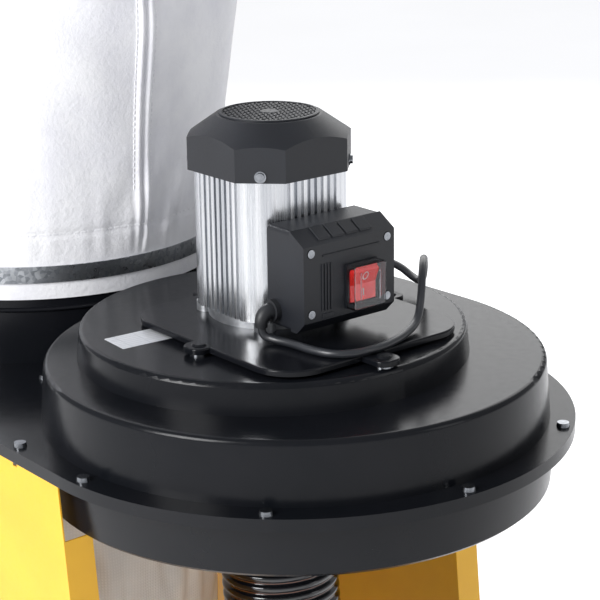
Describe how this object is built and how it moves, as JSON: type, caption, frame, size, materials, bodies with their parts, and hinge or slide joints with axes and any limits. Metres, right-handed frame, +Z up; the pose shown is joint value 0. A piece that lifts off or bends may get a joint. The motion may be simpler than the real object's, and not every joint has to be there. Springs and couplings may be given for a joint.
{
  "type": "dust collector",
  "caption": "Workshop dust collector: fan housing with a vertical motor, cloth filter bag over a chip bag, suction hose, and a wheeled sheet-steel stand.",
  "frame": {"origin": "on the floor, under the middle of the flange plate, which is the middle of the machine without its hose and cord", "axes": "+Z up, +X from the bag collar to the fan, +Y across towards the rear panel"},
  "size_m": [1.5587, 0.774, 1.61],
  "materials": {
    "black_housing_enamel": "semi-gloss",
    "yellow_enamel": "semi-gloss",
    "extruded_aluminium": "satin",
    "cast_aluminium": "cast",
    "black_plastic": "matte",
    "red_plastic": "gloss",
    "clear_plastic": "gloss",
    "black_rubber": "matte",
    "rubber_gasket": "matte",
    "zinc_fasteners": "bright zinc",
    "galvanised_steel": "galvanised",
    "turned_steel": "bright",
    "pressed_steel": "satin",
    "lamination_steel": "dull",
    "copper_winding": "varnished",
    "plated_brass": "nickel plated",
    "label_foil": "foil",
    "black_hose": "gloss",
    "felt_cloth": "needle felt",
    "woven_film": "translucent",
    "wheel_plastic": "matte"
  },
  "bodies": {
    "machine": {"axle": "turned_steel", "bag_crossbar": "yellow_enamel", "bag_support_rod": "galvanised_steel", "chip_bag": "woven_film", "chip_bag_strap": "galvanised_steel", "cord_gland": "black_rubber", "cowl_screws": "zinc_fasteners", "fan_cowl": "black_plastic", "fan_housing_cover": "black_housing_enamel", "fan_housing_pan": "black_housing_enamel", "filter_bag": "felt_cloth", "filter_bag_strap": "galvanised_steel", "flange_nuts": "zinc_fasteners", "flange_screws": "zinc_fasteners", "front_panel": "yellow_enamel", "hose_clamp": "galvanised_steel", "hose_cuff": "black_plastic", "housing_gasket": "rubber_gasket", "inlet_crossbar": "yellow_enamel", "inlet_hose": "black_hose", "inlet_spigot": "black_plastic", "lid_screws": "zinc_fasteners", "lower_bearing": "turned_steel", "lower_end_shield": "cast_aluminium", "mains_cord": "black_rubber", "mains_cord_coil": "black_rubber", "mains_plug": "black_rubber", "mains_plug_pins": "plated_brass", "motor_housing": "extruded_aluminium", "motor_plate": "black_housing_enamel", "motor_plate_bolts": "black_housing_enamel", "motor_plate_spacers": "zinc_fasteners", "rating_label": "label_foil", "rear_panel": "yellow_enamel", "rod_socket": "black_housing_enamel", "rubber_feet": "black_rubber", "run_capacitor": "black_plastic", "spigot_screws": "zinc_fasteners", "stand_bolts": "zinc_fasteners", "stator_core": "lamination_steel", "stator_windings": "copper_winding", "switch_body": "black_plastic", "switch_box_base": "black_plastic", "switch_box_lid": "black_plastic", "switch_clear_cover": "clear_plastic", "terminal_block": "black_plastic", "tie_rods": "zinc_fasteners", "upper_bearing": "turned_steel", "upper_end_shield": "cast_aluminium", "wheel_collars": "black_plastic"},
    "rotor": {"motor_shaft": "turned_steel", "rotor_core": "lamination_steel", "cooling_fan": "black_plastic", "impeller": "pressed_steel", "impeller_bolt": "zinc_fasteners"},
    "rocker": {"switch_rocker": "red_plastic"},
    "filter_strap_lever": {"filter_bag_strap_lever": "galvanised_steel"},
    "chip_strap_lever": {"chip_bag_strap_lever": "galvanised_steel"},
    "front_wheel_body": {"front_wheel": "wheel_plastic"},
    "rear_wheel_body": {"rear_wheel": "wheel_plastic"}
  },
  "joints": [
    {"name": "rotor_spin", "type": "hinge", "parent": "machine", "child": "rotor", "pos_m": [0.1802, -0.0111, 0.8], "axis": [0, 0, 1], "continuous": true},
    {"name": "rocker_tip", "type": "hinge", "parent": "machine", "child": "rocker", "pos_m": [0.2832, 0.0014, 0.894], "axis": [0, -1, 0], "range_deg": [0, 22]},
    {"name": "filter_latch", "type": "hinge", "parent": "machine", "child": "filter_strap_lever", "pos_m": [-0.38856, -0.07653, 0.848], "axis": [0, 0, -1], "range_deg": [0, 110]},
    {"name": "chip_latch", "type": "hinge", "parent": "machine", "child": "chip_strap_lever", "pos_m": [-0.38997, -0.07704, 0.7326], "axis": [0, 0, -1], "range_deg": [0, 110]},
    {"name": "front_wheel_roll", "type": "hinge", "parent": "machine", "child": "front_wheel_body", "pos_m": [-0.27034, -0.22, 0.05], "axis": [0, 1, 0], "continuous": true},
    {"name": "rear_wheel_roll", "type": "hinge", "parent": "machine", "child": "rear_wheel_body", "pos_m": [-0.27034, 0.2, 0.05], "axis": [0, 1, 0], "continuous": true}
  ]
}
